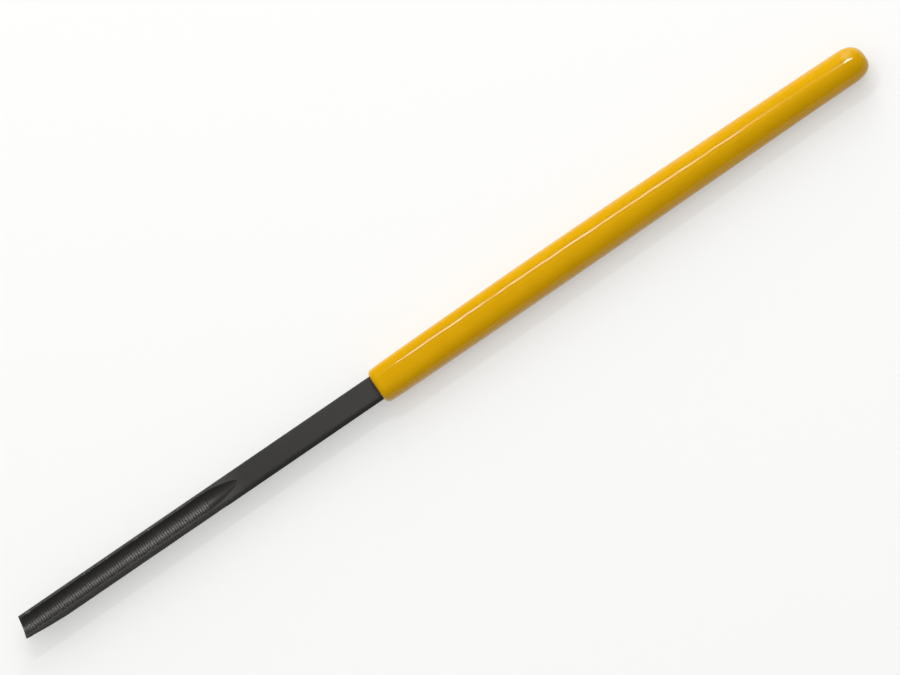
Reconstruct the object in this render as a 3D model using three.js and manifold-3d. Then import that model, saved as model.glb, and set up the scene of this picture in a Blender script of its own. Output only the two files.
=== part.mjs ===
// A fret end file: a slim hardened steel bar with one concave, toothed face, in a dipped vinyl grip.
// Lengths are in millimetres. X runs from the tip to the rear of the grip, and the groove faces +Z.
// The origin is on the lowest line of the grip, under the middle of the tool.
import * as THREE from "three";
import { mergeVertices } from "three/addons/utils/BufferGeometryUtils.js";
import Module from "manifold-3d";

// Overall sizes
const overallLength = 180;
const exposedLength = 75.8;

// Steel bar
const barWidth = 4.2;
const barHeight = 3.4;
const barEdgeBreak = 0.15;

// Concave groove along the top of the bar, whose floor rises out of the steel on a long arc
const grooveRadius = 2;
const grooveDepth = 0.75;
const grooveSides = 48;
const runoutRadius = 17;
const runoutOvershoot = 0.05;
const runoutSteps = 7;

// Ring teeth across the groove, raked towards the tip
const groovePlainFront = 1;
const groovePlainRear = 0.4;
const toothedLength = 39.7;
const toothPitch = 0.49;
const toothDepth = 0.13;
const toothFaceShare = 0.15;

// Slanted teeth on both flanks of the bar, below a plain band
const flankTeethStart = 1.4;
const flankTeethLength = 41.65;
const flankPlainBand = 0.45;
const flankToothPitch = 0.49;
const flankToothDepth = 0.09;
const flankToothFlat = 0.015;
const flankToothLean = THREE.MathUtils.degToRad(21);

// Ground tip: a skewed end face over a rounded heel, with one lower corner relieved
const tipSkew = THREE.MathUtils.degToRad(12.4);
const endFaceHeight = 0.85;
const heelRun = 2.1;
const heelRadius = 5.4;
const reliefStartNear = 1.8;
const reliefStartFar = 9;
const reliefDrop = 0.15;
const reliefRadius = 10;
const heelSteps = 6;

// Inside the grip: a shoulder where the bar narrows, then the round tang
const shoulderLength = 6;
const shoulderEndShare = 0.9;
const tangRadius = 2.2;
const tangRound = 0.7;
const tangOverlap = 0.5;
const vinylBehindTang = 3;

// Vinyl grip: a barrel with a rounded lip and a blunt domed rear end
const vinylWall = 1.53;
const fitGap = 0.1;
const lipRound = 0.5;
const domeLength = 4.5;
const domeSquareness = 2.35;
const domeSteps = 10;
const gripSides = 28;
const roundSteps = 4;
const barrelSteps = 14;
// Its section follows the bar's at the lip and is round past this length
const squaredLength = 72;
const lipSquareness = 2.75;
const roundSquareness = 2;
// Each station has its share of the barrel's length, from the lip, and its share of the grip's half width.
const barrelStationShares = [
  [0, 0.932],
  [0.09, 0.97],
  [0.2, 0.989],
  [0.36, 1],
  [0.53, 0.985],
  [0.72, 0.95],
  [0.88, 0.911],
  [1, 0.882],
];

// Allowances for cutting and for merging corners
const cutOverrun = 1;
const mergeDistance = 1e-4;

// Places and sizes that follow from the ones above
const halfWidth = barWidth / 2;
const halfHeight = barHeight / 2;
const gripHalfWidth = halfWidth + vinylWall;
const shoulderEnd = exposedLength + shoulderLength;
const tangEnd = overallLength - vinylBehindTang;
const barrelStart = exposedLength + lipRound;
const barrelEnd = overallLength - domeLength;

const alongX = new THREE.Vector3(1, 0, 0);
const alongY = new THREE.Vector3(0, 1, 0);
const alongZ = new THREE.Vector3(0, 0, 1);

const steel = new THREE.MeshStandardMaterial({ color: "#45443f", roughness: 0.45, metalness: 0.9 });
const vinyl = new THREE.MeshStandardMaterial({ color: "#dea400", roughness: 0.2, metalness: 0 });

const wasm = await Module();
wasm.setup();

/** Turns a closed three.js geometry into a solid that can be joined and cut. */
function toSolid(geometry) {
  geometry.deleteAttribute("normal");
  geometry.deleteAttribute("uv");
  const merged = mergeVertices(geometry, mergeDistance);
  const corners = merged.index.array;
  const triangles = [];
  for (let first = 0; first < corners.length; first += 3) {
    const [a, b, c] = corners.slice(first, first + 3);
    if (a !== b && b !== c && c !== a) {
      triangles.push(a, b, c);
    }
  }
  const vertProperties = new Float32Array(merged.attributes.position.array);
  const triVerts = new Uint32Array(triangles);
  return new wasm.Manifold(new wasm.Mesh({ numProp: 3, vertProperties, triVerts }));
}

/** Makes a named mesh of a finished solid. */
function toMesh(name, solid, material) {
  const { vertProperties, triVerts } = solid.getMesh();
  const geometry = new THREE.BufferGeometry();
  geometry.setAttribute("position", new THREE.BufferAttribute(vertProperties, 3));
  geometry.setIndex(new THREE.BufferAttribute(triVerts, 1));
  geometry.computeVertexNormals();
  const mesh = new THREE.Mesh(geometry, material);
  mesh.name = name;
  return mesh;
}

/** Turns a profile of [along X, radius] pairs about the X axis. */
function lathe(profile, sides) {
  const points = profile.map(([along, radius]) => new THREE.Vector2(radius, along));
  return new THREE.LatheGeometry(points, sides, Math.PI / sides).rotateZ(-Math.PI / 2);
}

/** Revolves a profile of [along X, radius] pairs. The flats of the result lie on the true radius. */
function revolve(profile, sides) {
  const cornerShare = 1 / Math.cos(Math.PI / sides);
  return toSolid(lathe(profile.map(([along, radius]) => [along, radius * cornerShare]), sides));
}

/** Extrudes an outline of [u, v] pairs along w, and scales its far end by a share about the w axis. */
function extrude(outline, length, { u, v, w, origin, endShare = 1 }) {
  const shape = new THREE.Shape(outline.map(([across, up]) => new THREE.Vector2(across, up)));
  const geometry = new THREE.ExtrudeGeometry(shape, { depth: length, bevelEnabled: false });
  const { position } = geometry.attributes;
  for (let corner = 0; corner < position.count; corner += 1) {
    const scale = THREE.MathUtils.lerp(1, endShare, position.getZ(corner) / length);
    position.setXY(corner, position.getX(corner) * scale, position.getY(corner) * scale);
  }
  geometry.applyMatrix4(new THREE.Matrix4().makeBasis(u, v, w).setPosition(origin));
  return toSolid(geometry);
}

/** Lists the points of an arc that turns left from one point to another. */
function leftArc([startX, startY], [endX, endY], radius, steps) {
  const chordX = endX - startX;
  const chordY = endY - startY;
  const chord = Math.hypot(chordX, chordY);
  const centreDistance = Math.sqrt(radius ** 2 - (chord / 2) ** 2);
  const centreX = (startX + endX) / 2 - (chordY / chord) * centreDistance;
  const centreY = (startY + endY) / 2 + (chordX / chord) * centreDistance;
  const startAngle = Math.atan2(startY - centreY, startX - centreX);
  const turn = 2 * Math.asin(chord / 2 / radius);
  return Array.from({ length: steps + 1 }, (_, step) => {
    const angle = startAngle + (turn * step) / steps;
    return [centreX + radius * Math.cos(angle), centreY + radius * Math.sin(angle)];
  });
}

/** Lists the points of a quarter round from an end face at x = face to a side of the given radius. */
function quarterRound(face, radius, round, inward) {
  return Array.from({ length: roundSteps + 1 }, (_, step) => {
    const angle = (Math.PI / 2) * (step / roundSteps);
    const along = face + inward * round * (1 - Math.cos(angle));
    return [along, radius - round * (1 - Math.sin(angle))];
  });
}

/** Lists a saw-tooth edge whose steep faces look towards the start, from gullet to gullet. */
function sawEdge(start, count, pitch, crest, gullet) {
  const edge = [];
  for (let tooth = 0; tooth < count; tooth += 1) {
    const root = start + tooth * pitch;
    edge.push([root, gullet], [root + pitch * toothFaceShare, crest]);
  }
  edge.push([start + count * pitch, gullet]);
  return edge;
}

/** Makes a bar of the file's section, with its long edges broken, larger all round by a gap. */
function bar(start, end, gap, endShare = 1) {
  const width = halfWidth + gap;
  const height = halfHeight + gap;
  const edgeBreak = barEdgeBreak + gap * (2 - Math.SQRT2);
  const quarter = [
    [width, height - edgeBreak],
    [width - edgeBreak, height],
  ];
  const mirrored = quarter.map(([across, up]) => [-across, up]).reverse();
  const upper = [...quarter, ...mirrored];
  const lower = upper.map(([across, up]) => [-across, -up]);
  return extrude([...upper, ...lower], end - start, {
    u: alongY,
    v: alongZ,
    w: alongX,
    origin: new THREE.Vector3(start, 0, 0),
    endShare,
  });
}

/** Makes the narrowing shoulder behind the lip of the grip, larger all round by a gap. */
function shoulder(gap) {
  return bar(exposedLength, shoulderEnd + gap, gap, shoulderEndShare);
}

/** Makes the round tang, larger all round by a gap. */
function tang(gap) {
  const start = shoulderEnd - tangOverlap - gap;
  const end = tangEnd + gap;
  const radius = tangRadius + gap;
  return revolve(
    [
      [start, 0],
      ...quarterRound(start, radius, tangRound, 1),
      ...quarterRound(end, radius, tangRound, -1).reverse(),
      [end, 0],
    ],
    gripSides,
  );
}

/** Makes the round cutter that leaves the groove, its ring teeth and its long run-out. */
function grooveCutter() {
  const count = Math.round((toothedLength - groovePlainFront) / toothPitch);
  const teethEnd = groovePlainFront + count * toothPitch;
  const runoutStart = teethEnd + groovePlainRear;
  const runoutTurn = Math.acos(1 - (grooveDepth + runoutOvershoot) / runoutRadius);
  const runout = Array.from({ length: runoutSteps + 1 }, (_, step) => {
    const angle = (runoutTurn * step) / runoutSteps;
    const rise = runoutRadius * (1 - Math.cos(angle));
    return [runoutStart + runoutRadius * Math.sin(angle), grooveRadius - rise];
  });
  const [runoutEnd] = runout.at(-1);
  const cutter = revolve(
    [
      [-cutOverrun, 0],
      [-cutOverrun, grooveRadius],
      [groovePlainFront, grooveRadius],
      ...sawEdge(groovePlainFront, count, toothPitch, grooveRadius, grooveRadius + toothDepth),
      [teethEnd, grooveRadius],
      ...runout,
      [runoutEnd, 0],
    ],
    grooveSides,
  );
  return cutter.translate([0, 0, halfHeight + grooveRadius - grooveDepth]);
}

/** Makes the comb that cuts the slanted teeth of one flank, on the side of +Y (1) or -Y (-1). */
function flankCutter(side) {
  const count = Math.round(flankTeethLength / flankToothPitch);
  const end = flankTeethStart + count * flankToothPitch;
  const crest = halfWidth + flankToothFlat;
  const gullet = halfWidth - flankToothDepth;
  const outline = [
    [flankTeethStart, halfWidth + cutOverrun],
    ...sawEdge(flankTeethStart, count, flankToothPitch, crest, gullet),
    [end, halfWidth + cutOverrun],
  ];
  const height = barHeight - flankPlainBand + cutOverrun;
  const lean = Math.tan(flankToothLean);
  return extrude(
    outline.map(([along, across]) => [along, side * across]),
    height,
    {
      u: alongX,
      v: alongY,
      w: new THREE.Vector3(lean, 0, 1),
      origin: new THREE.Vector3(-lean * height, 0, -halfHeight - cutOverrun),
    },
  );
}

/** Makes the cutter of the skewed end face and of the rounded heel under it. */
function endCutter() {
  const heelTop = halfHeight - endFaceHeight;
  const outline = [
    [-barWidth - cutOverrun, halfHeight + cutOverrun],
    [0, halfHeight + cutOverrun],
    ...leftArc([0, heelTop], [heelRun, -halfHeight], heelRadius, heelSteps),
    [heelRun, -halfHeight - cutOverrun],
    [-barWidth - cutOverrun, -halfHeight - cutOverrun],
  ];
  const across = new THREE.Vector3(Math.sin(tipSkew), Math.cos(tipSkew), 0);
  const reach = barWidth + heelRun + cutOverrun;
  return extrude(outline, reach + cutOverrun, {
    u: new THREE.Vector3(Math.cos(tipSkew), -Math.sin(tipSkew), 0),
    v: alongZ,
    w: across.clone().negate(),
    origin: new THREE.Vector3(0, -halfWidth, 0).addScaledVector(across, reach),
  });
}

/** Makes the cutter that relieves the lower corner of the tip on the -Y side. */
function reliefCutter() {
  const near = new THREE.Vector3(reliefStartNear, halfWidth, 0);
  const far = new THREE.Vector3(reliefStartFar, -halfWidth, 0);
  const edge = far.clone().sub(near).normalize();
  const outward = new THREE.Vector3().crossVectors(alongZ, edge).negate();
  const corner = new THREE.Vector3(0, -halfWidth, 0);
  const reach = corner.clone().sub(far).dot(outward);
  const top = halfHeight - reliefDrop;
  const outline = [
    ...leftArc([0, -halfHeight], [reach, top], reliefRadius, heelSteps),
    [reach + cutOverrun, top],
    [reach + cutOverrun, -halfHeight - cutOverrun],
    [0, -halfHeight - cutOverrun],
  ];
  return extrude(outline, near.distanceTo(far) + barWidth + cutOverrun, {
    u: outward,
    v: alongZ,
    w: edge.clone().negate(),
    origin: far.clone().addScaledVector(edge, cutOverrun),
  });
}

/** Builds the file: bar, shoulder and tang in one steel, then the groove, the teeth and the ground tip. */
function buildSteelFile() {
  const blank = bar(0, exposedLength, 0).add(shoulder(0)).add(tang(0));
  const cutters = [grooveCutter(), flankCutter(1), flankCutter(-1), endCutter(), reliefCutter()];
  const solid = cutters.reduce((steelLeft, cutter) => steelLeft.subtract(cutter), blank);
  return toMesh("steel_file", solid, steel);
}

/** Lists the outside of the grip from the axis at the lip to the axis at the rear. */
function gripProfile() {
  const stations = barrelStationShares.map(([alongShare, radiusShare]) => {
    const along = THREE.MathUtils.lerp(barrelStart, barrelEnd, alongShare);
    return new THREE.Vector2(along, gripHalfWidth * radiusShare);
  });
  const barrel = new THREE.SplineCurve(stations).getPoints(barrelSteps).map(({ x, y }) => [x, y]);
  const [, lipRadius] = barrel.shift();
  const [, domeRadius] = barrel.pop();
  const dome = Array.from({ length: domeSteps + 1 }, (_, step) => {
    const share = Math.sin((Math.PI / 2) * (step / domeSteps));
    const radius = domeRadius * (1 - share ** domeSquareness) ** (1 / domeSquareness);
    return [barrelEnd + domeLength * share, radius];
  });
  return [
    [exposedLength, 0],
    ...quarterRound(exposedLength, lipRadius, lipRound, 1),
    ...barrel,
    ...dome,
  ];
}

/** Squares off a revolved grip towards its lip, where it is also less high than wide, like the bar. */
function followBar(geometry) {
  const { position } = geometry.attributes;
  const shortfall = halfWidth - halfHeight;
  for (let corner = 0; corner < position.count; corner += 1) {
    const [x, y, z] = [position.getX(corner), position.getY(corner), position.getZ(corner)];
    const radius = Math.hypot(y, z);
    const roundness = THREE.MathUtils.clamp((x - exposedLength) / squaredLength, 0, 1);
    const squareness = THREE.MathUtils.lerp(lipSquareness, roundSquareness, roundness);
    const across = Math.abs(y);
    const up = Math.abs(z);
    const reach = (across ** squareness + up ** squareness) ** (1 / squareness);
    if (reach > 0) {
      const scale = radius / reach;
      const heightShare = 1 - (shortfall * (1 - roundness)) / gripHalfWidth;
      position.setXYZ(corner, x, y * scale, z * scale * heightShare);
    }
  }
  return geometry;
}

/** Builds the grip: a barrel with a bore that follows the bar, the shoulder and the tang. */
function buildVinylGrip() {
  const mouth = bar(exposedLength - cutOverrun, exposedLength, fitGap);
  const bore = mouth.add(shoulder(fitGap)).add(tang(fitGap));
  const outside = toSolid(followBar(lathe(gripProfile(), gripSides)));
  return toMesh("vinyl_grip", outside.subtract(bore), vinyl);
}

const tool = new THREE.Group();
tool.add(buildSteelFile(), buildVinylGrip());
const { min } = new THREE.Box3().setFromObject(tool);
tool.position.set(-overallLength / 2, 0, -min.z);

const fretEndFile = new THREE.Group();
fretEndFile.add(tool);

export default fretEndFile;
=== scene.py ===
"""A fret end file on a pale bench: a slim dark file with a concave toothed top, in a glossy yellow dipped grip.

Lengths in the classes are in millimetres. X runs from the tip to the rear of the grip and the groove faces +Z.
"""

import logging
import math
from dataclasses import dataclass, replace
from enum import Enum

import bmesh
import bpy
from mathutils import Matrix, Quaternion, Vector, noise


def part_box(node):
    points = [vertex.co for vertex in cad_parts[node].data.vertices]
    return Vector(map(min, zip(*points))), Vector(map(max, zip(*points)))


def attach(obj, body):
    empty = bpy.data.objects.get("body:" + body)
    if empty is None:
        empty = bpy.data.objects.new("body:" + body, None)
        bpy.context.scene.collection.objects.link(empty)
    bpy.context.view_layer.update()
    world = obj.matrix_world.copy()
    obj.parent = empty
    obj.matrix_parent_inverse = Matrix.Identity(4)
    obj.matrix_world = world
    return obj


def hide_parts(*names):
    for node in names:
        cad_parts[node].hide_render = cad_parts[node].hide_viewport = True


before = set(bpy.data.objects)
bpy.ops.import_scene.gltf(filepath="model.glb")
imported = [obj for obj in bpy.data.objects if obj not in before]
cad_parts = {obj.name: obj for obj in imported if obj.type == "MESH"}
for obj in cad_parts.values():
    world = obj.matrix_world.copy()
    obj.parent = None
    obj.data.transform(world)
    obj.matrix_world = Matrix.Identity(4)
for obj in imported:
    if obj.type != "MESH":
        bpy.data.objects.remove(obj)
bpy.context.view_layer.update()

MM = 0.001
PHOTO_WIDTH = 900
# The exponent of a section that is a circle. Higher ones are squarer.
CIRCLE = 2.0
# Puts a place that lies on the border of two teeth into the later one.
TOOTH_SLACK = 1e-6
log = logging.getLogger("fret_end_file")


class Slot(Enum):
    """The names of the material slots in the record. Nothing in the script uses them."""

    STEEL = "file_steel"
    VINYL = "yellow_vinyl"


class Zone(Enum):
    """The stretches of the bar's section, from the middle of the underside round to the groove."""

    UNDERSIDE = "underside"
    LOWER_EDGE = "lower edge"
    FLANK = "flank"
    UPPER_EDGE = "upper edge"
    LAND = "land"
    GROOVE = "groove"


def linear(hex_colour: str) -> tuple[float, float, float, float]:
    """Turns an sRGB hex colour to linear light.

    Args:
        hex_colour: six hex digits after a number sign.

    Returns:
        The linear red, green and blue, and an alpha of 1.
    """
    channels = [int(hex_colour[start : start + 2], 16) / 255 for start in (1, 3, 5)]
    red, green, blue = (c / 12.92 if c <= 0.04045 else ((c + 0.055) / 1.055) ** 2.4 for c in channels)
    return red, green, blue, 1.0


def mix(low: float, high: float, share: float) -> float:
    """Returns the value a share of the way from low to high."""
    return low + (high - low) * share


def smooth_share(low: float, high: float, value: float) -> float:
    """Returns how far value is from low to high, from 0 to 1, with an eased start and end."""
    share = min(max((value - low) / (high - low), 0.0), 1.0)
    return share * share * (3 - 2 * share)


def gullet(share: float, face: float) -> float:
    """Returns how deep a saw tooth is: 1 where it starts, 0 at its crest, which ends its face, and 1 again behind."""
    return 1 - share / face if share < face else (share - face) / (1 - face)


def add_node(tree: bpy.types.NodeTree, kind: str, links: dict | None = None, **settings: object) -> bpy.types.Node:
    """Adds a shader node, sets it up and links its inputs.

    Args:
        tree: the node tree that gets the node.
        kind: the node's type without its ShaderNode prefix.
        links: the output socket that each named or numbered input takes.
        settings: the node's own settings, and values for inputs whose name starts with in_.

    Returns:
        The new node.
    """
    node = tree.nodes.new(f"ShaderNode{kind}")
    for name, value in settings.items():
        if name.startswith("in_"):
            node.inputs[name[3:].replace("_", " ")].default_value = value
        else:
            setattr(node, name, value)
    for name, socket in (links or {}).items():
        tree.links.new(socket, node.inputs[name])
    return node


def ramp(
    tree: bpy.types.NodeTree, value: bpy.types.NodeSocket, start: float, end: float, low: float = 0.0, high: float = 1.0
) -> bpy.types.NodeSocket:
    """Adds a node that maps one stretch of a value onto another and holds it at both ends.

    Args:
        tree: the node tree that gets the node.
        value: the socket that gives the value.
        start: the value that becomes low.
        end: the value that becomes high.
        low: the result at the start.
        high: the result at the end.

    Returns:
        The socket of the result.
    """
    stretch = {"in_From_Min": start, "in_From_Max": end, "in_To_Min": low, "in_To_Max": high}
    return add_node(tree, "MapRange", {"Value": value}, clamp=True, **stretch).outputs["Result"]


def blank_material(name: str) -> tuple[bpy.types.Material, bpy.types.NodeTree]:
    """Makes a material with an empty node tree.

    Args:
        name: the material's name.

    Returns:
        The material and its node tree.
    """
    material = bpy.data.materials.new(name)
    material.use_nodes = True
    material.node_tree.nodes.clear()
    return material, material.node_tree


@dataclass(frozen=True)
class ToolFrame:
    """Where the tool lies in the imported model's frame, in metres."""

    tip_x: float
    axis_height: float

    @classmethod
    def of_model(cls) -> "ToolFrame":
        """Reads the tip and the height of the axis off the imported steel."""
        low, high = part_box("steel_file")
        return cls(tip_x=low.x, axis_height=(low.z + high.z) / 2)

    def place(self, along: float, across: float, up: float) -> Vector:
        """Turns millimetres from the tip and the axis into a point of the frame."""
        return Vector((self.tip_x + along * MM, across * MM, self.axis_height + up * MM))


def finish_mesh(name: str, mesh: bmesh.types.BMesh, sharp_degrees: float = 35.0) -> bpy.types.Object:
    """Makes an object of a closed bmesh, smooth but for its sharp edges.

    Args:
        name: the object's name.
        mesh: the bmesh, which is freed.
        sharp_degrees: edges that turn by more than this stay sharp.

    Returns:
        The object, linked to the scene.
    """
    bmesh.ops.recalc_face_normals(mesh, faces=mesh.faces)
    data = bpy.data.meshes.new(name)
    mesh.to_mesh(data)
    mesh.free()
    data.shade_smooth()
    data.set_sharp_from_angle(angle=math.radians(sharp_degrees))
    piece = bpy.data.objects.new(name, data)
    bpy.context.scene.collection.objects.link(piece)
    return piece


def dress(piece: bpy.types.Object, node: str, material: bpy.types.Material) -> None:
    """Gives a piece its material, hangs it on the root body and hides the CAD node that it replaces.

    Args:
        piece: the finished piece.
        node: the CAD node that it replaces.
        material: the finish.
    """
    piece.data.materials.clear()
    piece.data.materials.append(material)
    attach(piece, "root")
    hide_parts(node)
    places = [vertex.co for vertex in piece.data.vertices]
    size = [round((max(axis) - min(axis)) / MM, 2) for axis in zip(*places)]
    log.info("%s: %d faces, %s mm, %s", piece.name, len(piece.data.polygons), size, material.name)


@dataclass(frozen=True)
class HardenedToolSteel:
    """Cut and hardened carbon steel: dark grey and satin, paler where the teeth and the edges are worn bright."""

    body: str = "#6b6a68"
    shade: str = "#5d5c5a"
    crest: str = "#aaa8a3"
    scale: str = "#555452"
    scale_x_mm: tuple[float, float] = (-46.0, -42.0)
    plain_x_mm: tuple[float, float] = (-52.5, -51.5)
    land_z_mm: tuple[float, float] = (4.8, 4.9)
    worn_pointiness: tuple[float, float] = (0.52, 0.62)
    grazing: float = 0.08
    metallic: float = 0.9
    roughness: tuple[float, float] = (0.34, 0.48)
    edge_radius_mm: float = 0.06
    grind_line_mm: float = 0.22
    grind_stretch: float = 24.0
    grind_depth_mm: float = 0.004
    grind_strength: float = 0.25
    mottle_mm: float = 2.5

    def material(self) -> bpy.types.Material:
        """Builds the steel's material.

        Returns:
            The material, on Object coordinates.
        """
        material, tree = blank_material("hardened_tool_steel")
        place = add_node(tree, "TexCoord").outputs["Object"]
        # The temper colour wanders a little along the bar.
        mottle = add_node(tree, "TexNoise", {"Vector": place}, in_Scale=1 / (self.mottle_mm * MM), in_Detail=4.0)
        body = add_node(
            tree, "MixRGB", {"Fac": mottle.outputs["Fac"]}, in_Color1=linear(self.shade), in_Color2=linear(self.body)
        )
        # The plain neck keeps more of its dark hardening scale than the stretch that was cut and brushed.
        axes = add_node(tree, "SeparateXYZ", {"Vector": place}).outputs
        neck = ramp(tree, axes["X"], *(x * MM for x in self.scale_x_mm))
        body = add_node(tree, "MixRGB", {"Fac": neck, "Color1": body.outputs["Color"]}, in_Color2=linear(self.scale))
        # Crests and edges are rubbed bright. Convex corners have a pointiness over a half.
        worn = ramp(tree, add_node(tree, "NewGeometry").outputs["Pointiness"], *self.worn_pointiness)
        # The plain land beside the run-out cuts nothing, so it isn't rubbed.
        runout = ramp(tree, axes["X"], *(x * MM for x in self.plain_x_mm))
        land = ramp(tree, axes["Z"], *(z * MM for z in self.land_z_mm))
        plain = add_node(tree, "Math", {0: runout, 1: land}, operation="MULTIPLY")
        rubbed = add_node(tree, "Math", {0: worn, 1: plain.outputs["Value"]}, operation="SUBTRACT", use_clamp=True)
        colour = add_node(
            tree,
            "MixRGB",
            {"Fac": rubbed.outputs["Value"], "Color1": body.outputs["Color"]},
            in_Color2=linear(self.crest),
        )
        # Grinding lines run along the bar. Real ones are finer, and these are as coarse as shows.
        line = 1 / (self.grind_line_mm * MM)
        stretched = add_node(tree, "Mapping", {"Vector": place}, in_Scale=(line / self.grind_stretch, line, line))
        grind = add_node(tree, "TexNoise", {"Vector": stretched.outputs["Vector"]}, in_Scale=1.0, in_Detail=3.0)
        rough = ramp(tree, grind.outputs["Fac"], 0.0, 1.0, *self.roughness)
        soft_edge = add_node(tree, "Bevel", samples=4, in_Radius=self.edge_radius_mm * MM)
        bump = add_node(
            tree,
            "Bump",
            {"Height": grind.outputs["Fac"], "Normal": soft_edge.outputs["Normal"]},
            in_Strength=self.grind_strength,
            in_Distance=self.grind_depth_mm * MM,
        )
        shader = add_node(
            tree,
            "BsdfPrincipled",
            {
                "Base Color": colour.outputs["Color"],
                "Roughness": rough,
                "Normal": bump.outputs["Normal"],
            },
            in_Metallic=self.metallic,
            in_Specular_Tint=(self.grazing, self.grazing, self.grazing, 1.0),
        )
        add_node(tree, "OutputMaterial", {"Surface": shader.outputs["BSDF"]})
        return material


@dataclass(frozen=True)
class DippedVinyl:
    """Yellow plastisol that the handle was dipped in and cured: glossy, saturated, slightly uneven."""

    colour: str = "#d09a00"
    thin: str = "#d6a304"
    roughness: tuple[float, float] = (0.05, 0.13)
    ior: float = 1.32
    sag_mm: float = 5.0
    sag_depth_mm: float = 0.07
    skin_mm: float = 0.5
    skin_depth_mm: float = 0.002
    skin_strength: float = 0.35
    bleed_mm: float = 0.4
    bleed_share: float = 0.06
    bleed_colours: tuple[float, float, float] = (1.0, 0.5, 0.1)

    def material(self) -> bpy.types.Material:
        """Builds the vinyl's material.

        Returns:
            The material, on Object coordinates.
        """
        material, tree = blank_material("dipped_yellow_vinyl")
        place = add_node(tree, "TexCoord").outputs["Object"]
        # The coat ran a little as it cured, so its colour and its surface wander over some millimetres.
        sag = add_node(tree, "TexNoise", {"Vector": place}, in_Scale=1 / (self.sag_mm * MM), in_Detail=2.0)
        colour = add_node(
            tree, "MixRGB", {"Fac": sag.outputs["Fac"]}, in_Color1=linear(self.colour), in_Color2=linear(self.thin)
        )
        skin = add_node(tree, "TexNoise", {"Vector": place}, in_Scale=1 / (self.skin_mm * MM), in_Detail=2.0)
        rough = ramp(tree, skin.outputs["Fac"], 0.0, 1.0, *self.roughness)
        waves = add_node(
            tree, "Bump", {"Height": sag.outputs["Fac"]}, in_Strength=1.0, in_Distance=self.sag_depth_mm * MM
        )
        bump = add_node(
            tree,
            "Bump",
            {"Height": skin.outputs["Fac"], "Normal": waves.outputs["Normal"]},
            in_Strength=self.skin_strength,
            in_Distance=self.skin_depth_mm * MM,
        )
        shader = add_node(
            tree,
            "BsdfPrincipled",
            {
                "Base Color": colour.outputs["Color"],
                "Roughness": rough,
                "Normal": bump.outputs["Normal"],
            },
            in_IOR=self.ior,
            in_Subsurface_Weight=self.bleed_share,
            in_Subsurface_Radius=self.bleed_colours,
            in_Subsurface_Scale=self.bleed_mm * MM,
        )
        add_node(tree, "OutputMaterial", {"Surface": shader.outputs["BSDF"]})
        return material


@dataclass(frozen=True)
class PaintedBench:
    """Matt white paint on a smooth board, with hardly any tooth."""

    colour: str = "#f6f6f5"
    bounce: str = "#dcdcda"
    glow_share: float = 0.4

    def material(self) -> bpy.types.Material:
        """Builds the bench's material, which is white to the eye and in gloss and sends a little less light back up.

        Returns:
            The material.
        """
        material, tree = blank_material("matt_white_paint")
        rays = add_node(tree, "LightPath").outputs
        seen = add_node(tree, "Math", {0: rays["Is Camera Ray"], 1: rays["Is Glossy Ray"]}, operation="MAXIMUM")
        seen = add_node(tree, "Math", {0: seen.outputs[0], 1: rays["Is Transmission Ray"]}, operation="MAXIMUM")
        colour = add_node(
            tree, "MixRGB", {"Fac": seen.outputs[0]}, in_Color1=linear(self.bounce), in_Color2=linear(self.colour)
        )
        paint = add_node(tree, "BsdfDiffuse", {"Color": colour.outputs["Color"]}, in_Roughness=0.0)
        # A share of the white is the same everywhere, which thins the tool's shadow as a lit table would.
        glow = add_node(tree, "Emission", in_Color=linear(self.colour), in_Strength=1.0)
        share = ramp(tree, seen.outputs[0], 0.0, 1.0, 0.0, self.glow_share)
        shader = add_node(tree, "MixShader", {0: share, 1: paint.outputs["BSDF"], 2: glow.outputs["Emission"]})
        add_node(tree, "OutputMaterial", {"Surface": shader.outputs["Shader"]})
        return material


@dataclass(frozen=True)
class SectionPoint:
    """One point of the bar's section: its stretch, how far it is along that stretch, and its side."""

    zone: Zone
    share: float
    side: int


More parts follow.
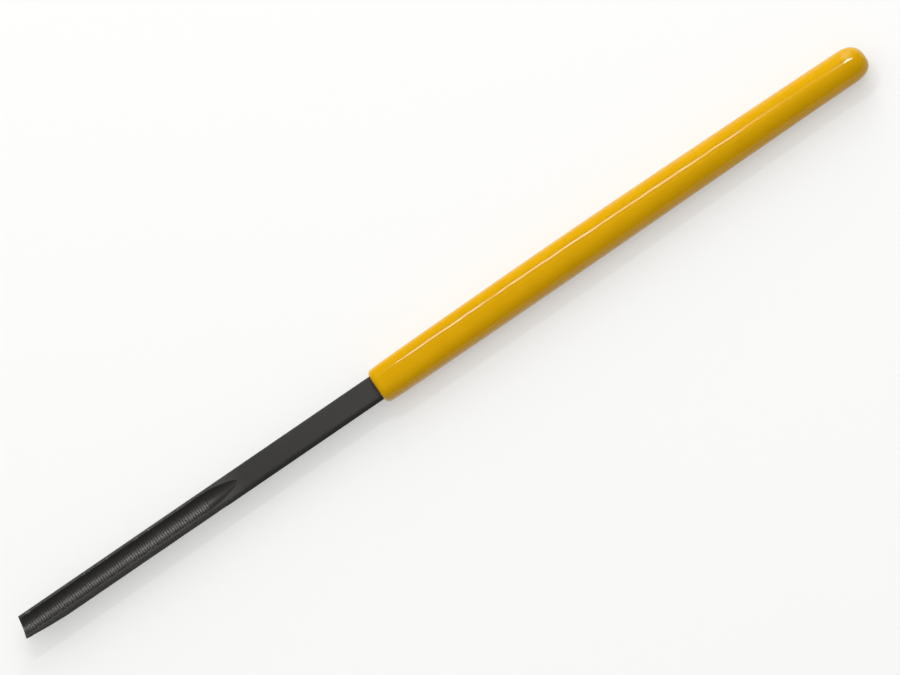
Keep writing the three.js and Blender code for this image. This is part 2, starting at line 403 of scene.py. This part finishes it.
@dataclass
class SteelFile:
    """The file: one bar with a toothed groove, toothed flanks and a ground tip, and its tang inside the grip."""

    tool: ToolFrame
    width: float = 4.2
    height: float = 3.4
    edge_break: float = 0.15
    exposed_length: float = 75.8
    groove_radius: float = 2.0
    groove_depth: float = 0.75
    ring_start: float = 1.0
    ring_count: int = 79
    ring_pitch: float = 0.49
    ring_depth: float = 0.08
    ring_wander: float = 0.2
    tooth_face_share: float = 0.2
    tooth_steps: int = 5
    runout_start: float = 40.11
    runout_length: float = 6.2
    runout_end_slope: float = 1.2
    runout_steps: int = 18
    runout_crowding: float = 1.6
    runout_gap: float = 0.02
    runout_flat: float = 1.2
    flank_start: float = 1.4
    flank_length: float = 41.65
    flank_band: float = 0.45
    flank_depth: float = 0.09
    flank_lean: float = 21.0
    flank_ragged: float = 0.07
    flank_fade: float = 0.12
    lean_fade: tuple[float, float] = (46.0, 58.0)
    cross_pitch: float = 0.52
    cross_depth: float = 0.07
    cross_face_share: float = 0.3
    tip_skew: float = 12.4
    end_face_height: float = 0.85
    heel_run: float = 2.1
    heel_radius: float = 5.4
    relief_near: float = 1.8
    relief_far: float = 9.0
    relief_drop: float = 0.15
    relief_radius: float = 10.0
    shoulder_end: float = 81.8
    shoulder_share: float = 0.9
    shoulder_step: float = 0.8
    tang_radius: float = 2.2
    tang_round: float = 0.7
    tang_end_share: float = 0.7
    tang_end: float = 177.0
    front_stations: tuple[float, ...] = (-0.6, 0.2)
    neck_stations: tuple[float, ...] = (50.0, 58.0, 66.0, 74.0)
    underside_shares: tuple[float, ...] = (0.0, 0.4, 0.8)
    edge_steps: int = 8
    flank_steps: int = 26
    groove_steps: int = 44
    sharp_degrees: float = 14.0
    merge_distance: float = 0.0001
    flat_reach: float = 3.0
    flat_normal: float = 0.99999

    @property
    def flat_radius(self) -> float:
        """The groove radius at which the floor has risen to the top of the bar."""
        return self.groove_radius - self.groove_depth

    @property
    def land_edge(self) -> float:
        """Half the width of the groove at the top of the bar."""
        return math.sqrt(self.groove_radius**2 - self.flat_radius**2)

    def stations(self) -> list[float]:
        """Lists the places along the bar that get a ring of points: five to a tooth, then the run-out and the neck.

        Returns:
            Millimetres from the tip, in rising order.
        """
        places = [*self.front_stations]
        teeth_end = self.flank_start + self.flank_length
        tooth = 0
        while self.ring_start + tooth * self.ring_pitch < teeth_end:
            start = self.ring_start + tooth * self.ring_pitch
            places += [start + step / self.tooth_steps * self.ring_pitch for step in range(self.tooth_steps)]
            tooth += 1
        # The stations crowd towards the end of the run-out, where its outline turns most.
        end = self.runout_start + self.runout_length
        start, steps = places[-1], self.runout_steps
        shares = (1 - (1 - step / steps) ** self.runout_crowding for step in range(1, steps + 1))
        places += [mix(start, end - self.runout_gap, share) for share in shares]
        places += [end + self.runout_flat, *self.neck_stations, self.exposed_length]
        places += [self.shoulder_end, self.shoulder_end + self.shoulder_step]
        places += [self.tang_end - self.tang_round, self.tang_end]
        return places

    def section(self) -> list[SectionPoint]:
        """Lists the points round the section, from the middle of the underside up the +Y side and back.

        Returns:
            The points, with the first one repeated at the end.
        """
        edge, rows, bow = self.edge_steps, self.flank_steps, self.groove_steps
        half = [SectionPoint(Zone.UNDERSIDE, share, 1) for share in self.underside_shares]
        half += [SectionPoint(Zone.LOWER_EDGE, step / edge, 1) for step in range(edge + 1)]
        half += [SectionPoint(Zone.FLANK, step / rows, 1) for step in range(1, rows + 1)]
        half += [SectionPoint(Zone.UPPER_EDGE, step / edge, 1) for step in range(1, edge + 1)]
        half += [SectionPoint(Zone.LAND, step / 2, 1) for step in (1, 0)]
        groove = [SectionPoint(Zone.GROOVE, 1 - 2 * step / bow, 1) for step in range(1, bow)]
        other = [SectionPoint(point.zone, point.share, -1) for point in reversed(half)]
        return half + groove + other

    def groove_radius_at(self, station: float, round_share: float) -> float:
        """Works out the radius of the groove at a place along the bar.

        Args:
            station: millimetres from the tip.
            round_share: the place round the groove, from -1 at its -Y edge to 1 at its +Y edge.

        Returns:
            The radius from the groove's axis, which grows into a gullet behind each ring tooth.
        """
        along = station - self.ring_start
        teeth_length = self.ring_count * self.ring_pitch
        if -TOOTH_SLACK <= along < teeth_length - TOOTH_SLACK:
            place = along / self.ring_pitch + TOOTH_SLACK
            # Each tooth was raised by a stroke of its own, so the gullets vary.
            wander = 1 + self.ring_wander * noise.noise(Vector((math.floor(place) * 1.37, round_share * 2.6, 0.5)))
            return self.groove_radius + self.ring_depth * wander * gullet(place % 1.0, self.tooth_face_share)
        # The cutter was lifted out gently, so the floor fades into the top of the bar.
        share = min(max((station - self.runout_start) / self.runout_length, 0.0), 1.0)
        slope = self.runout_end_slope
        return self.groove_radius - self.groove_depth * ((3 - slope) * share**2 - (2 - slope) * share**3)

    def flank_cut(self, station: float, along: float, up: float, side: int) -> float:
        """Works out how deep the double-cut teeth of a flank are at a point.

        Args:
            station: the place along the bar of the slanted ring of points, on which the first set of teeth lies.
            along: millimetres from the tip.
            up: height over the axis.
            side: 1 for +Y and -1 for -Y.

        Returns:
            The depth under the plain flank.
        """
        into = station - self.flank_start
        if not 0 <= into <= self.flank_length:
            return 0.0
        first = self.flank_depth * gullet((into / self.ring_pitch + TOOTH_SLACK) % 1.0, self.tooth_face_share)
        second = self.cross_depth * gullet(((along + up) / self.cross_pitch) % 1.0, self.cross_face_share)
        tooth = math.floor(into / self.ring_pitch)
        ragged = self.flank_ragged * noise.noise(Vector((tooth * 0.73, side * 5.1, 0.3)))
        top = self.height / 2 - self.flank_band + ragged
        return max(first, second) * smooth_share(top, top - self.flank_fade, up) if up < top else 0.0

    def surface_point(self, station: float, point: SectionPoint) -> Vector:
        """Places one point of the bar's surface.

        Args:
            station: millimetres from the tip.
            point: the point of the section.

        Returns:
            The place in the frame, in metres.
        """
        half_width, half_height = self.width / 2, self.height / 2
        flat, straight = half_width - self.edge_break, half_height - self.edge_break
        turn = point.share * math.pi / 2
        across, up = half_width, half_height
        if point.zone is Zone.UNDERSIDE:
            across, up = flat * point.share, -half_height
        elif point.zone is Zone.LOWER_EDGE:
            across, up = flat + self.edge_break * math.sin(turn), -straight - self.edge_break * math.cos(turn)
        elif point.zone is Zone.FLANK:
            up = mix(-straight, straight, point.share)
        elif point.zone is Zone.UPPER_EDGE:
            across, up = flat + self.edge_break * math.cos(turn), straight + self.edge_break * math.sin(turn)
        else:
            round_share = point.share if point.zone is Zone.GROOVE else float(point.side)
            radius = self.groove_radius_at(station, round_share)
            edge = self.land_edge
            if radius > self.flat_radius:
                half_angle = math.acos(self.flat_radius / radius)
                edge = radius * math.sin(half_angle)
                across = radius * math.sin(half_angle * point.share)
                up = half_height + self.flat_radius - radius * math.cos(half_angle * point.share)
            else:
                across = edge * point.share
            if point.zone is Zone.LAND:
                across, up = mix(edge, flat, point.share), half_height
        lean = math.tan(math.radians(self.flank_lean)) * max(half_height - self.flank_band - up, 0.0)
        if point.zone in (Zone.GROOVE, Zone.LAND, Zone.UPPER_EDGE):
            lean = 0.0
        along = station - lean * (1 - smooth_share(*self.lean_fade, station))
        if point.zone in (Zone.FLANK, Zone.LOWER_EDGE):
            across -= self.flank_cut(station, along, up, point.side) * (across / half_width)
        across *= point.side
        if station > self.exposed_length:
            across, up = self.inside_grip(station, across, up)
        return self.tool.place(along, across, up)

    def inside_grip(self, station: float, across: float, up: float) -> tuple[float, float]:
        """Narrows the section over the shoulder and rounds it into the tang.

        Args:
            station: millimetres from the tip.
            across: half-width position of the bar's section.
            up: height position of the bar's section.

        Returns:
            The position across and up inside the grip.
        """
        if station <= self.shoulder_end:
            return across * self.shoulder_share, up * self.shoulder_share
        radius = self.tang_radius * (self.tang_end_share if station == self.tang_end else 1.0)
        reach = math.hypot(across, up)
        return across * radius / reach, up * radius / reach

    def build(self) -> bpy.types.Object:
        """Builds the file from one grid that is wrapped round the bar, then grinds its tip.

        Returns:
            The steel piece.
        """
        stations, section = self.stations(), self.section()
        mesh = bmesh.new()
        rows, columns = len(stations) - 1, len(section) - 1
        bmesh.ops.create_grid(mesh, x_segments=rows, y_segments=columns, size=1.0)
        for vertex in mesh.verts:
            station = stations[round((vertex.co.x + 1) / 2 * rows)]
            point = section[round((vertex.co.y + 1) / 2 * columns)]
            vertex.co = self.surface_point(station, point)
        bmesh.ops.remove_doubles(mesh, verts=mesh.verts, dist=self.merge_distance * MM)
        ends = [edge for edge in mesh.edges if edge.is_boundary]
        caps = bmesh.ops.holes_fill(mesh, edges=ends, sides=0)["faces"]
        bmesh.ops.triangulate(mesh, faces=caps, quad_method="BEAUTY", ngon_method="EAR_CLIP")
        self.grind(mesh)
        piece = finish_mesh("steel_file_ground", mesh, self.sharp_degrees)
        self.keep_top_flat(piece.data)
        return piece

    def grind(self, mesh: bmesh.types.BMesh) -> None:
        """Cuts the ground faces of the tip, one plane after another, and closes each cut with a flat face.

        Args:
            mesh: the closed bar, which is changed.
        """
        reach = self.tool.place(self.relief_far + self.width, 0.0, 0.0).x
        for point, normal in self.ground_planes():
            near = [face for face in mesh.faces if face.verts[0].co.x < reach]
            edges = {edge for face in near for edge in face.edges}
            corners = {vertex for face in near for vertex in face.verts}
            cut = bmesh.ops.bisect_plane(
                mesh,
                geom=[*near, *edges, *corners],
                dist=0.0,
                plane_co=self.tool.place(*point),
                plane_no=normal,
                clear_outer=True,
            )
            rim = [item for item in cut["geom_cut"] if isinstance(item, bmesh.types.BMEdge) and item.is_boundary]
            bmesh.ops.holes_fill(mesh, edges=rim, sides=0)

    def ground_planes(self) -> list[tuple[Vector, Vector]]:
        """Lists the planes of the tip: the skewed end face, the rounded heel under it and the relieved corner.

        Returns:
            A point of each plane, in millimetres from the tip and the axis, and its normal, away from the steel.
        """
        half_width, half_height = self.width / 2, self.height / 2
        skew = math.radians(self.tip_skew)
        corner = Vector((0, -half_width, 0))
        back = Vector((math.cos(skew), -math.sin(skew), 0))
        top, foot = (0.0, half_height - self.end_face_height), (self.heel_run, -half_height)
        planes = [(corner, -back), *arc_planes(corner, back, top, foot, self.heel_radius)]
        near, far = Vector((self.relief_near, half_width, 0)), Vector((self.relief_far, -half_width, 0))
        outward = (far - near).normalized().cross(Vector((0, 0, 1)))
        foot, top = (0.0, -half_height), ((corner - far).dot(outward), half_height - self.relief_drop)
        return planes + arc_planes(far, outward, foot, top, self.relief_radius)

    def keep_top_flat(self, ground: bpy.types.Mesh) -> None:
        """Marks the faint rim of the run-out as sharp, so that its slope does not shade the flat top behind it.

        Args:
            ground: the bar's mesh, whose sharp edges are already set by angle.
        """
        start = self.tool.tip_x + self.runout_start * MM
        end = start + (self.runout_length + self.flat_reach) * MM
        mesh = bmesh.new()
        mesh.from_mesh(ground)
        for edge in mesh.edges:
            corner = edge.verts[0].co
            if start < corner.x < end and corner.z > self.tool.axis_height:
                flat = [face.normal.z > self.flat_normal for face in edge.link_faces]
                if any(flat) and not all(flat):
                    edge.smooth = False
        mesh.to_mesh(ground)
        mesh.free()


def left_arc(start: tuple[float, float], end: tuple[float, float], radius: float) -> tuple[tuple[float, float], float]:
    """Finds the arc that turns left from one point to another.

    Args:
        start: the arc's start.
        end: the arc's end.
        radius: the arc's radius.

    Returns:
        The arc's centre and its angle in radians.
    """
    chord = Vector(end) - Vector(start)
    middle = (Vector(start) + Vector(end)) / 2
    out = Vector((-chord.y, chord.x)).normalized()
    centre = middle + out * math.sqrt(radius**2 - (chord.length / 2) ** 2)
    return (centre.x, centre.y), 2 * math.asin(chord.length / 2 / radius)


def arc_planes(
    origin: Vector, along: Vector, start: tuple[float, float], end: tuple[float, float], radius: float, steps: int = 32
) -> list[tuple[Vector, Vector]]:
    """Lists the planes along an arc that turns left, with what is kept on the arc's inner side.

    Args:
        origin: the place from which the arc's two coordinates count.
        along: the direction of the first coordinate. The second is upwards.
        start: the arc's start.
        end: the arc's end.
        radius: the arc's radius.
        steps: the number of planes.

    Returns:
        A point of each plane and its normal.
    """
    centre, angle = left_arc(start, end, radius)
    spoke = Vector(start) - Vector(centre)
    places = [Vector(centre) + Matrix.Rotation(angle * step / steps, 2) @ spoke for step in range(steps + 1)]
    up = Vector((0, 0, 1))
    planes = []
    for first, second in zip(places, places[1:]):
        heading = (second - first).normalized()
        planes.append((origin + along * first.x + up * first.y, along * heading.y - up * heading.x))
    return planes


@dataclass(frozen=True)
class GripRing:
    """One ring of the grip: its place, its half sizes, how square it is, how far it leans to +Y and how it tilts."""

    along: float
    half_width: float
    half_height: float
    squareness: float
    aside: float = 0.0
    tilt: float = 0.0


@dataclass
class VinylGrip:
    """The dipped grip: a barrel that follows the bar at its lip and is round at its rear, closed tight on the steel."""

    tool: ToolFrame
    lip: float = 75.8
    length_end: float = 179.8
    bar_half_width: float = 2.1
    bar_half_height: float = 1.7
    lip_round: float = 0.78
    lip_run: float = 1.15
    dome_squareness: float = 2.65
    dome_tilt: float = 0.04
    squared_length: float = 72.0
    lip_squareness: float = 2.75
    height_share: float = 1.0115
    lip_aside: float = -0.08
    bow: float = 0.156
    rear_aside: float = 0.05
    rear_share: float = 0.85
    bore_radius: float = 2.3
    bore_end: float = 177.1
    bore_end_shares: tuple[float, ...] = (0.0, 0.5, 0.72)
    bore_round: float = 0.6
    bore_middle: float = 130.0
    shoulder_end: float = 82.3
    shoulder_step: float = 0.3
    shoulder_squareness: float = 10.0
    columns: int = 96
    lip_steps: int = 10
    barrel_steps: int = 60
    dome_steps: int = 28
    sharp_degrees: float = 50.0
    merge_distance: float = 0.0005
    # How far behind the lip's face, how much wider than the bar, how square
    mouth: tuple[tuple[float, float, float], ...] = (
        (0.5, -0.02, 14.0),
        (0.15, -0.02, 14.0),
        (0.04, 0.03, 12.0),
        (0.0, 0.12, 9.0),
    )
    face_shares: tuple[float, ...] = (0.4, 0.75)
    face_squareness: float = 7.0
    # How far from the tip, half the width
    barrel: tuple[tuple[float, float], ...] = (
        (76.95, 3.255),
        (77.6, 3.29),
        (79.0, 3.332),
        (82.5, 3.378),
        (86.0, 3.416),
        (95.2, 3.469),
        (104.0, 3.52),
        (113.5, 3.551),
        (123.3, 3.539),
        (132.2, 3.503),
        (140.6, 3.455),
        (149.4, 3.398),
        (156.7, 3.346),
        (165.6, 3.267),
        (175.45, 3.195),
    )

    def roundness(self, along: float) -> float:
        """Returns 0 at the lip, where the section follows the bar, and 1 where it is round."""
        return min(max((along - self.lip) / self.squared_length, 0.0), 1.0)

    def aside(self, along: float) -> float:
        """Works out how far the grip leans towards +Y, since a dipped grip is never quite straight.

        Args:
            along: millimetres from the tip.

        Returns:
            The lean in millimetres.
        """
        share = (along - self.lip) / (self.length_end - self.lip)
        bow = self.bow * math.sin(math.pi * min(max(share, 0.0), 1.0))
        return self.lip_aside + bow - self.rear_aside * smooth_share(self.rear_share, 1.0, share)

    def outer_ring(self, along: float, half_width: float) -> GripRing:
        """Makes a ring of the outside.

        Args:
            along: millimetres from the tip.
            half_width: half the width there.

        Returns:
            The ring, which is flatter than round near the lip.
        """
        roundness = self.roundness(along)
        widest = max(width for _, width in self.barrel)
        fall = (self.bar_half_width - self.bar_half_height) * (1 - roundness) / widest
        half_height = half_width * (1 - fall) * self.height_share
        return GripRing(along, half_width, half_height, mix(self.lip_squareness, CIRCLE, roundness), self.aside(along))

    def barrel_half_width(self, along: float) -> float:
        """Reads the barrel's half width off its stations, eased between them.

        Args:
            along: millimetres from the tip.

        Returns:
            Half the width there.
        """
        stations = self.barrel
        index = max(i for i in range(len(stations) - 1) if stations[i][0] <= along + 1e-9)
        (x1, w1), (x2, w2) = stations[index], stations[index + 1]
        x0, w0 = stations[max(index - 1, 0)]
        x3, w3 = stations[min(index + 2, len(stations) - 1)]
        share = (along - x1) / (x2 - x1)
        slope1 = (w2 - w0) / (x2 - x0) * (x2 - x1)
        slope2 = (w3 - w1) / (x3 - x1) * (x2 - x1)
        square, cube = share**2, share**3
        return (
            (2 * cube - 3 * square + 1) * w1
            + (cube - 2 * square + share) * slope1
            + (3 * square - 2 * cube) * w2
            + (cube - square) * slope2
        )

    def rings(self) -> list[GripRing]:
        """Lists the rings from the blind end of the bore, out over the lip and back to the rear pole.

        Returns:
            The rings, the first and the last of which have no size.
        """
        bore, width, height = self.bore_radius, self.bar_half_width, self.bar_half_height
        rings = [GripRing(self.bore_end, bore * share, bore * share, CIRCLE) for share in self.bore_end_shares]
        bore_places = (self.bore_end - self.bore_round, self.bore_middle, self.shoulder_end)
        rings += [GripRing(place, bore, bore, CIRCLE) for place in bore_places]
        rings += [GripRing(self.shoulder_end - self.shoulder_step, width, height, self.shoulder_squareness)]
        rings += [GripRing(self.lip + run, width + more, height + more, square) for run, more, square in self.mouth]
        mouth, start = width + self.mouth[-1][1], self.barrel[0][1] - self.lip_round
        rings += [self.lip_ring(mix(mouth, start, share), share) for share in self.face_shares]
        for step in range(self.lip_steps + 1):
            turn = math.pi / 2 * step / self.lip_steps
            along = self.lip + self.lip_run * (1 - math.cos(turn))
            rings.append(self.outer_ring(along, start + self.lip_round * math.sin(turn)))
        first, last = self.barrel[0][0], self.barrel[-1][0]
        for step in range(1, self.barrel_steps):
            along = mix(first, last, step / self.barrel_steps)
            rings.append(self.outer_ring(along, self.barrel_half_width(along)))
        length = self.length_end - last
        for step in range(self.dome_steps + 1):
            share = math.sin(math.pi / 2 * step / self.dome_steps)
            size = max(1 - share**self.dome_squareness, 0.0) ** (1 / self.dome_squareness)
            ring = self.outer_ring(last + length * share, self.barrel[-1][1] * size)
            rings.append(replace(ring, tilt=-self.dome_tilt * share**2))
        return rings

    def lip_ring(self, half_width: float, share: float) -> GripRing:
        """Makes a ring of the lip's face.

        Args:
            half_width: half the ring's width.
            share: how far it is from the bar's outline, at 0, to the outside, at 1.

        Returns:
            The ring.
        """
        outer = self.outer_ring(self.lip, self.barrel[0][1] - self.lip_round)
        half_height = mix(self.bar_half_height + self.mouth[-1][1], outer.half_height, share)
        squareness = mix(self.face_squareness, outer.squareness, share)
        return GripRing(self.lip, half_width, half_height, squareness, outer.aside * share)

    def build(self) -> bpy.types.Object:
        """Builds the grip from one grid that is wrapped round its rings.

        Returns:
            The grip.
        """
        rings = self.rings()
        mesh = bmesh.new()
        rows = len(rings) - 1
        bmesh.ops.create_grid(mesh, x_segments=rows, y_segments=self.columns, size=1.0)
        for vertex in mesh.verts:
            ring = rings[round((vertex.co.x + 1) / 2 * rows)]
            turn = math.pi * vertex.co.y
            cos, sin = math.cos(turn), math.sin(turn)
            reach = (abs(cos) ** ring.squareness + abs(sin) ** ring.squareness) ** (1 / ring.squareness)
            across = ring.half_width * cos / reach
            along = ring.along + ring.tilt * across
            vertex.co = self.tool.place(along, across + ring.aside, ring.half_height * sin / reach)
        bmesh.ops.remove_doubles(mesh, verts=mesh.verts, dist=self.merge_distance * MM)
        return finish_mesh("vinyl_grip_dipped", mesh, self.sharp_degrees)


@dataclass(frozen=True)
class Lamp:
    """A soft lamp that shines on the tool from a direction round it.

    The lean is from straight up towards +Y, and the slant from square to the tool towards +X.
    """

    name: str
    lean: float
    slant: float
    radiance: float
    size: tuple[float, float] = (0.2, 0.2)
    distance: float = 0.6
    shift_x: float = 0.0
    gloss_only: bool = False

    def direction(self) -> Vector:
        """Returns the unit vector from the tool to the lamp."""
        lean, slant = math.radians(self.lean), math.radians(self.slant)
        return Vector((math.sin(slant), math.cos(slant) * math.sin(lean), math.cos(slant) * math.cos(lean)))

    def hang(self) -> bpy.types.Object:
        """Hangs the lamp as a rectangle whose long side runs along X.

        Returns:
            The lamp's object.
        """
        data = bpy.data.lights.new(self.name, "AREA")
        data.shape = "RECTANGLE"
        data.size, data.size_y = self.size
        data.energy = self.radiance * math.pi * self.size[0] * self.size[1]
        lamp = bpy.data.objects.new(self.name, data)
        bpy.context.scene.collection.objects.link(lamp)
        lamp.visible_camera = False
        lamp.visible_diffuse = not self.gloss_only
        back = self.direction()
        side = (Vector((1, 0, 0)) - back * back.x).normalized()
        turn = Matrix((side, back.cross(side), back)).transposed()
        lamp.matrix_world = Matrix.Translation(back * self.distance + Vector((self.shift_x, 0, 0))) @ turn.to_4x4()
        return lamp


@dataclass(frozen=True)
class Sky:
    """A broad even light from far away that leaves no mark in the gloss."""

    name: str
    lean: float
    slant: float
    strength: float
    spread: float

    def hang(self) -> bpy.types.Object:
        """Hangs the light and keeps it out of the reflections.

        Returns:
            The light's object.
        """
        data = bpy.data.lights.new(self.name, "SUN")
        data.energy = self.strength * math.pi
        data.angle = math.radians(self.spread)
        light = bpy.data.objects.new(self.name, data)
        bpy.context.scene.collection.objects.link(light)
        back = Lamp(self.name, self.lean, self.slant, 1.0).direction()
        light.rotation_mode = "QUATERNION"
        light.rotation_quaternion = back.to_track_quat("Z", "Y")
        light.visible_glossy = False
        return light


@dataclass
class Studio:
    """The bench, the lights and the camera of the photograph's view."""

    tool: ToolFrame
    elevation: float = 78.0
    roll: float = 34.35
    pixels_per_mm: float = 5.675
    lens: float = 400.0
    sensor: float = 36.0
    clip: tuple[float, float] = (0.05, 60.0)
    middle_pixel: tuple[float, float] = (443.28, 342.2)
    picture_pixels: tuple[int, int] = (PHOTO_WIDTH, 675)
    bench_size: float = 12.0
    lamps: tuple[Lamp, ...] = (
        Lamp("strip_softbox", lean=30.0, slant=0.0, radiance=68.0, size=(0.138, 0.014), shift_x=0.033),
        Lamp("end_strip", 21.0, 15.0, 300.0, size=(0.055, 0.005), distance=0.15, shift_x=0.087, gloss_only=True),
        Lamp("streak_panel", lean=50.0, slant=24.0, radiance=3.4, size=(0.22, 0.22)),
        Lamp("side_panel", lean=74.0, slant=28.0, radiance=2.2, size=(0.3, 0.3)),
    )
    skies: tuple[Sky, ...] = (
        Sky("broad_key_light", lean=35.0, slant=0.0, strength=0.53, spread=110.0),
        Sky("broad_fill_light", lean=0.0, slant=0.0, strength=0.365, spread=170.0),
    )
    wall_level: float = 0.065

    def build(self) -> None:
        """Sets up the bench, the lights, the world and the camera."""
        self.lay_bench()
        for light in (*self.lamps, *self.skies):
            light.hang()
            log.info("light %s", light.name)
        self.fill_world()
        self.aim_camera()
        bpy.context.scene.view_settings.view_transform = "Standard"

    def lay_bench(self) -> None:
        """Lays the pale bench under the tool."""
        mesh = bmesh.new()
        bmesh.ops.create_grid(mesh, x_segments=2, y_segments=2, size=self.bench_size / 2)
        bench = finish_mesh("bench_top", mesh)
        bench.data.materials.append(PaintedBench().material())

    def fill_world(self) -> None:
        """Makes a dim even world, since the lights do the lighting."""
        world = bpy.data.worlds.new("studio_walls")
        bpy.context.scene.world = world
        world.use_nodes = True
        tree = world.node_tree
        tree.nodes.clear()
        shine = add_node(tree, "Background", in_Color=(1.0, 1.0, 1.0, 1.0), in_Strength=self.wall_level)
        add_node(tree, "OutputWorld", {"Surface": shine.outputs["Background"]})

    def aim_camera(self) -> None:
        """Aims a long lens along the photograph's line of sight."""
        tilt = math.radians(self.elevation)
        back = Vector((0, -math.cos(tilt), math.sin(tilt)))
        turn = (-back).to_track_quat("-Z", "Y") @ Quaternion((0, 0, 1), -math.radians(self.roll))
        right, up = turn @ Vector((1, 0, 0)), turn @ Vector((0, 1, 0))
        width, height = self.picture_pixels
        pixel = MM / self.pixels_per_mm
        aside = (width / 2 - self.middle_pixel[0]) * pixel
        above = (self.middle_pixel[1] - height / 2) * pixel
        target = Vector((0, 0, self.tool.axis_height)) + right * aside + up * above
        data = bpy.data.cameras.new("long_lens")
        data.lens, data.sensor_width = self.lens, self.sensor
        distance = width * pixel * self.lens / self.sensor
        data.clip_start, data.clip_end = self.clip
        camera = bpy.data.objects.new("long_lens", data)
        bpy.context.scene.collection.objects.link(camera)
        camera.location = target + back * distance
        camera.rotation_mode = "QUATERNION"
        camera.rotation_quaternion = turn
        bpy.context.scene.camera = camera


def main() -> None:
    """Builds the studio, then the pieces of the tool in order."""
    logging.basicConfig(level=logging.INFO, format="%(message)s")
    tool = ToolFrame.of_model()
    Studio(tool).build()
    dress(SteelFile(tool).build(), "steel_file", HardenedToolSteel().material())
    dress(VinylGrip(tool).build(), "vinyl_grip", DippedVinyl().material())


if __name__ == "__main__":
    main()
